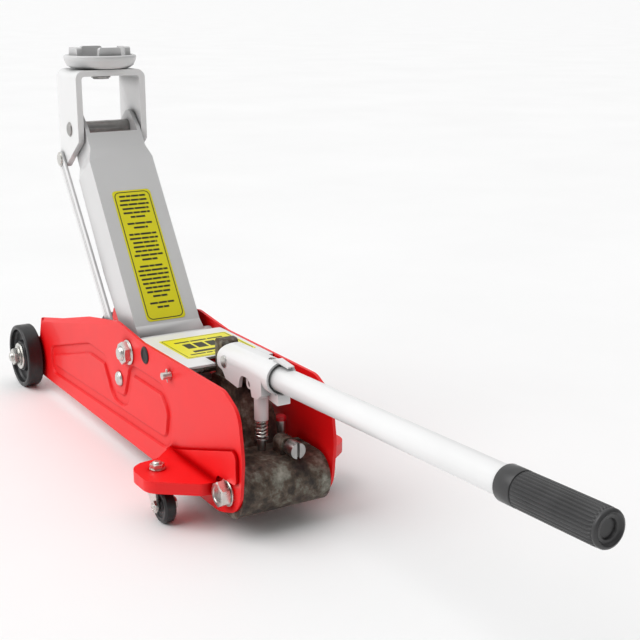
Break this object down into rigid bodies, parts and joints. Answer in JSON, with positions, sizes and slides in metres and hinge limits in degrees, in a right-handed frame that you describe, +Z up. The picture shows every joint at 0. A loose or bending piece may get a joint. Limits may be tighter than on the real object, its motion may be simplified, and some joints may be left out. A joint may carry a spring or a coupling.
{
  "type": "trolley jack",
  "caption": "Hydraulic trolley jack with red side plates, a raised lifting arm with a turning saddle, dark wheels, rear castors and a long gripped handle.",
  "frame": {"origin": "on the floor under the middle of the whole jack, from the front wheels' front edge to the handle's end, with the lifting arm raised", "axes": "+X towards the end of the handle, +Y towards the operator's right, +Z up; the jack is symmetric about Y = 0 apart from its filler post and release valve"},
  "size_m": [1.1166, 0.24, 0.4734],
  "materials": {
    "casting": "oiled casting with light rust",
    "grey_paint": "satin",
    "grip": "ribbed rubber",
    "label": "printed film",
    "red_cap": "moulded",
    "red_paint": "gloss",
    "seal": "rubber",
    "spring": "spring wire",
    "steel": "machined",
    "wheel": "satin moulded",
    "white_paint": "gloss",
    "zinc": "bright zinc plated"
  },
  "bodies": {
    "frame": {"arm_pivot_nuts": "zinc", "arm_pivot_shaft": "zinc", "body_bolts": "zinc", "cover_label": "label", "cover_plate": "white_paint", "cylinder_gland": "casting", "cylinder_tube": "steel", "filler_cap": "red_cap", "filler_post": "steel", "front_axle": "zinc", "front_axle_nuts": "zinc", "hole_plugs": "seal", "left_castor_bracket": "red_paint", "left_side_plate": "red_paint", "link_bolts": "zinc", "plunger_spring": "spring", "pump_body": "casting", "pump_sleeve": "steel", "reservoir_tube": "casting", "return_springs": "spring", "right_castor_bracket": "red_paint", "right_side_plate": "red_paint", "socket_pivot_pin": "zinc", "spring_rod": "zinc", "spring_rod_clips": "zinc"},
    "arm": {"lift_arm": "grey_paint", "arm_pivot_bush": "grey_paint", "arm_label": "label", "ram_pin": "steel"},
    "bracket": {"saddle_bracket": "white_paint", "bracket_pin": "steel"},
    "saddle": {"saddle": "grey_paint", "saddle_clip": "steel"},
    "left_link": {"left_link": "white_paint", "left_link_pin": "zinc"},
    "right_link": {"right_link": "white_paint", "right_link_pin": "zinc"},
    "ram": {"ram_clevis": "steel", "ram_rod": "steel", "ram_piston": "steel", "piston_seal": "seal"},
    "plunger": {"pump_plunger": "steel", "plunger_cap": "white_paint"},
    "release": {"release_valve": "steel", "release_knuckle": "steel"},
    "handle": {"handle_socket": "white_paint", "press_roller": "steel", "handle_screw": "zinc", "handle_tube": "white_paint", "handle_grip": "grip"},
    "left_front_wheel": {"left_front_wheel": "wheel"},
    "right_front_wheel": {"right_front_wheel": "wheel"},
    "left_castor": {"left_castor_fork": "zinc", "left_castor_stem": "zinc", "left_castor_axle": "zinc"},
    "right_castor": {"right_castor_fork": "zinc", "right_castor_stem": "zinc", "right_castor_axle": "zinc"},
    "left_castor_wheel": {"left_castor_wheel": "wheel"},
    "right_castor_wheel": {"right_castor_wheel": "wheel"}
  },
  "joints": [
    {"name": "arm_lift", "type": "hinge", "parent": "frame", "child": "arm", "pos_m": [-0.168, 0, 0.133], "axis": [0, 1, 0], "range_deg": [-66.4, 0], "deforming": ["return_springs"]},
    {"name": "bracket_level", "type": "hinge", "parent": "arm", "child": "bracket", "pos_m": [-0.35348, 0, 0.37386], "axis": [0, 1, 0], "range_deg": [0, 66.4]},
    {"name": "saddle_spin", "type": "hinge", "parent": "bracket", "child": "saddle", "pos_m": [-0.35698, 0, 0.44686], "axis": [0, 0, 1], "continuous": true},
    {"name": "left_link_swing", "type": "hinge", "parent": "frame", "child": "left_link", "pos_m": [-0.198, -0.0473, 0.093], "axis": [0, 1, 0], "range_deg": [-66.4, 0]},
    {"name": "right_link_swing", "type": "hinge", "parent": "frame", "child": "right_link", "pos_m": [-0.198, 0.0473, 0.093], "axis": [0, 1, 0], "range_deg": [-66.4, 0]},
    {"name": "ram_slide", "type": "slide", "parent": "frame", "child": "ram", "axis": [-1, 0, 0], "range_m": [-0.0527, 0]},
    {"name": "handle_pump", "type": "hinge", "parent": "frame", "child": "handle", "pos_m": [0.004, 0, 0.1606], "axis": [0, 1, 0], "range_deg": [-35, 0]},
    {"name": "plunger_stroke", "type": "slide", "parent": "frame", "child": "plunger", "axis": [0, 0, 1], "range_m": [0, 0.0309], "deforming": ["plunger_spring"]},
    {"name": "release_turn", "type": "hinge", "parent": "frame", "child": "release", "pos_m": [0.078, 0.019, 0.083], "axis": [1, 0, 0], "range_deg": [0, 180]},
    {"name": "left_front_wheel_spin", "type": "hinge", "parent": "frame", "child": "left_front_wheel", "pos_m": [-0.515, -0.0685, 0.0435], "axis": [0, 1, 0], "continuous": true},
    {"name": "left_castor_swivel", "type": "hinge", "parent": "frame", "child": "left_castor", "pos_m": [0, -0.096, 0.054], "axis": [0, 0, 1], "continuous": true},
    {"name": "left_castor_wheel_spin", "type": "hinge", "parent": "left_castor", "child": "left_castor_wheel", "pos_m": [0.015, -0.096, 0.019], "axis": [0, 1, 0], "continuous": true},
    {"name": "right_front_wheel_spin", "type": "hinge", "parent": "frame", "child": "right_front_wheel", "pos_m": [-0.515, 0.0685, 0.0435], "axis": [0, 1, 0], "continuous": true},
    {"name": "right_castor_swivel", "type": "hinge", "parent": "frame", "child": "right_castor", "pos_m": [0, 0.096, 0.054], "axis": [0, 0, 1], "continuous": true},
    {"name": "right_castor_wheel_spin", "type": "hinge", "parent": "right_castor", "child": "right_castor_wheel", "pos_m": [0.015, 0.096, 0.019], "axis": [0, 1, 0], "continuous": true}
  ],
  "couplings": [
    {"joint": "bracket_level", "follows": "arm_lift", "ratio": -1},
    {"joint": "left_link_swing", "follows": "arm_lift", "ratio": 1},
    {"joint": "right_link_swing", "follows": "arm_lift", "ratio": 1},
    {"joint": "ram_slide", "follows": "arm_lift", "m_per_rad": 0.045336},
    {"joint": "plunger_stroke", "follows": "handle_pump", "m_per_rad": -0.05045}
  ]
}
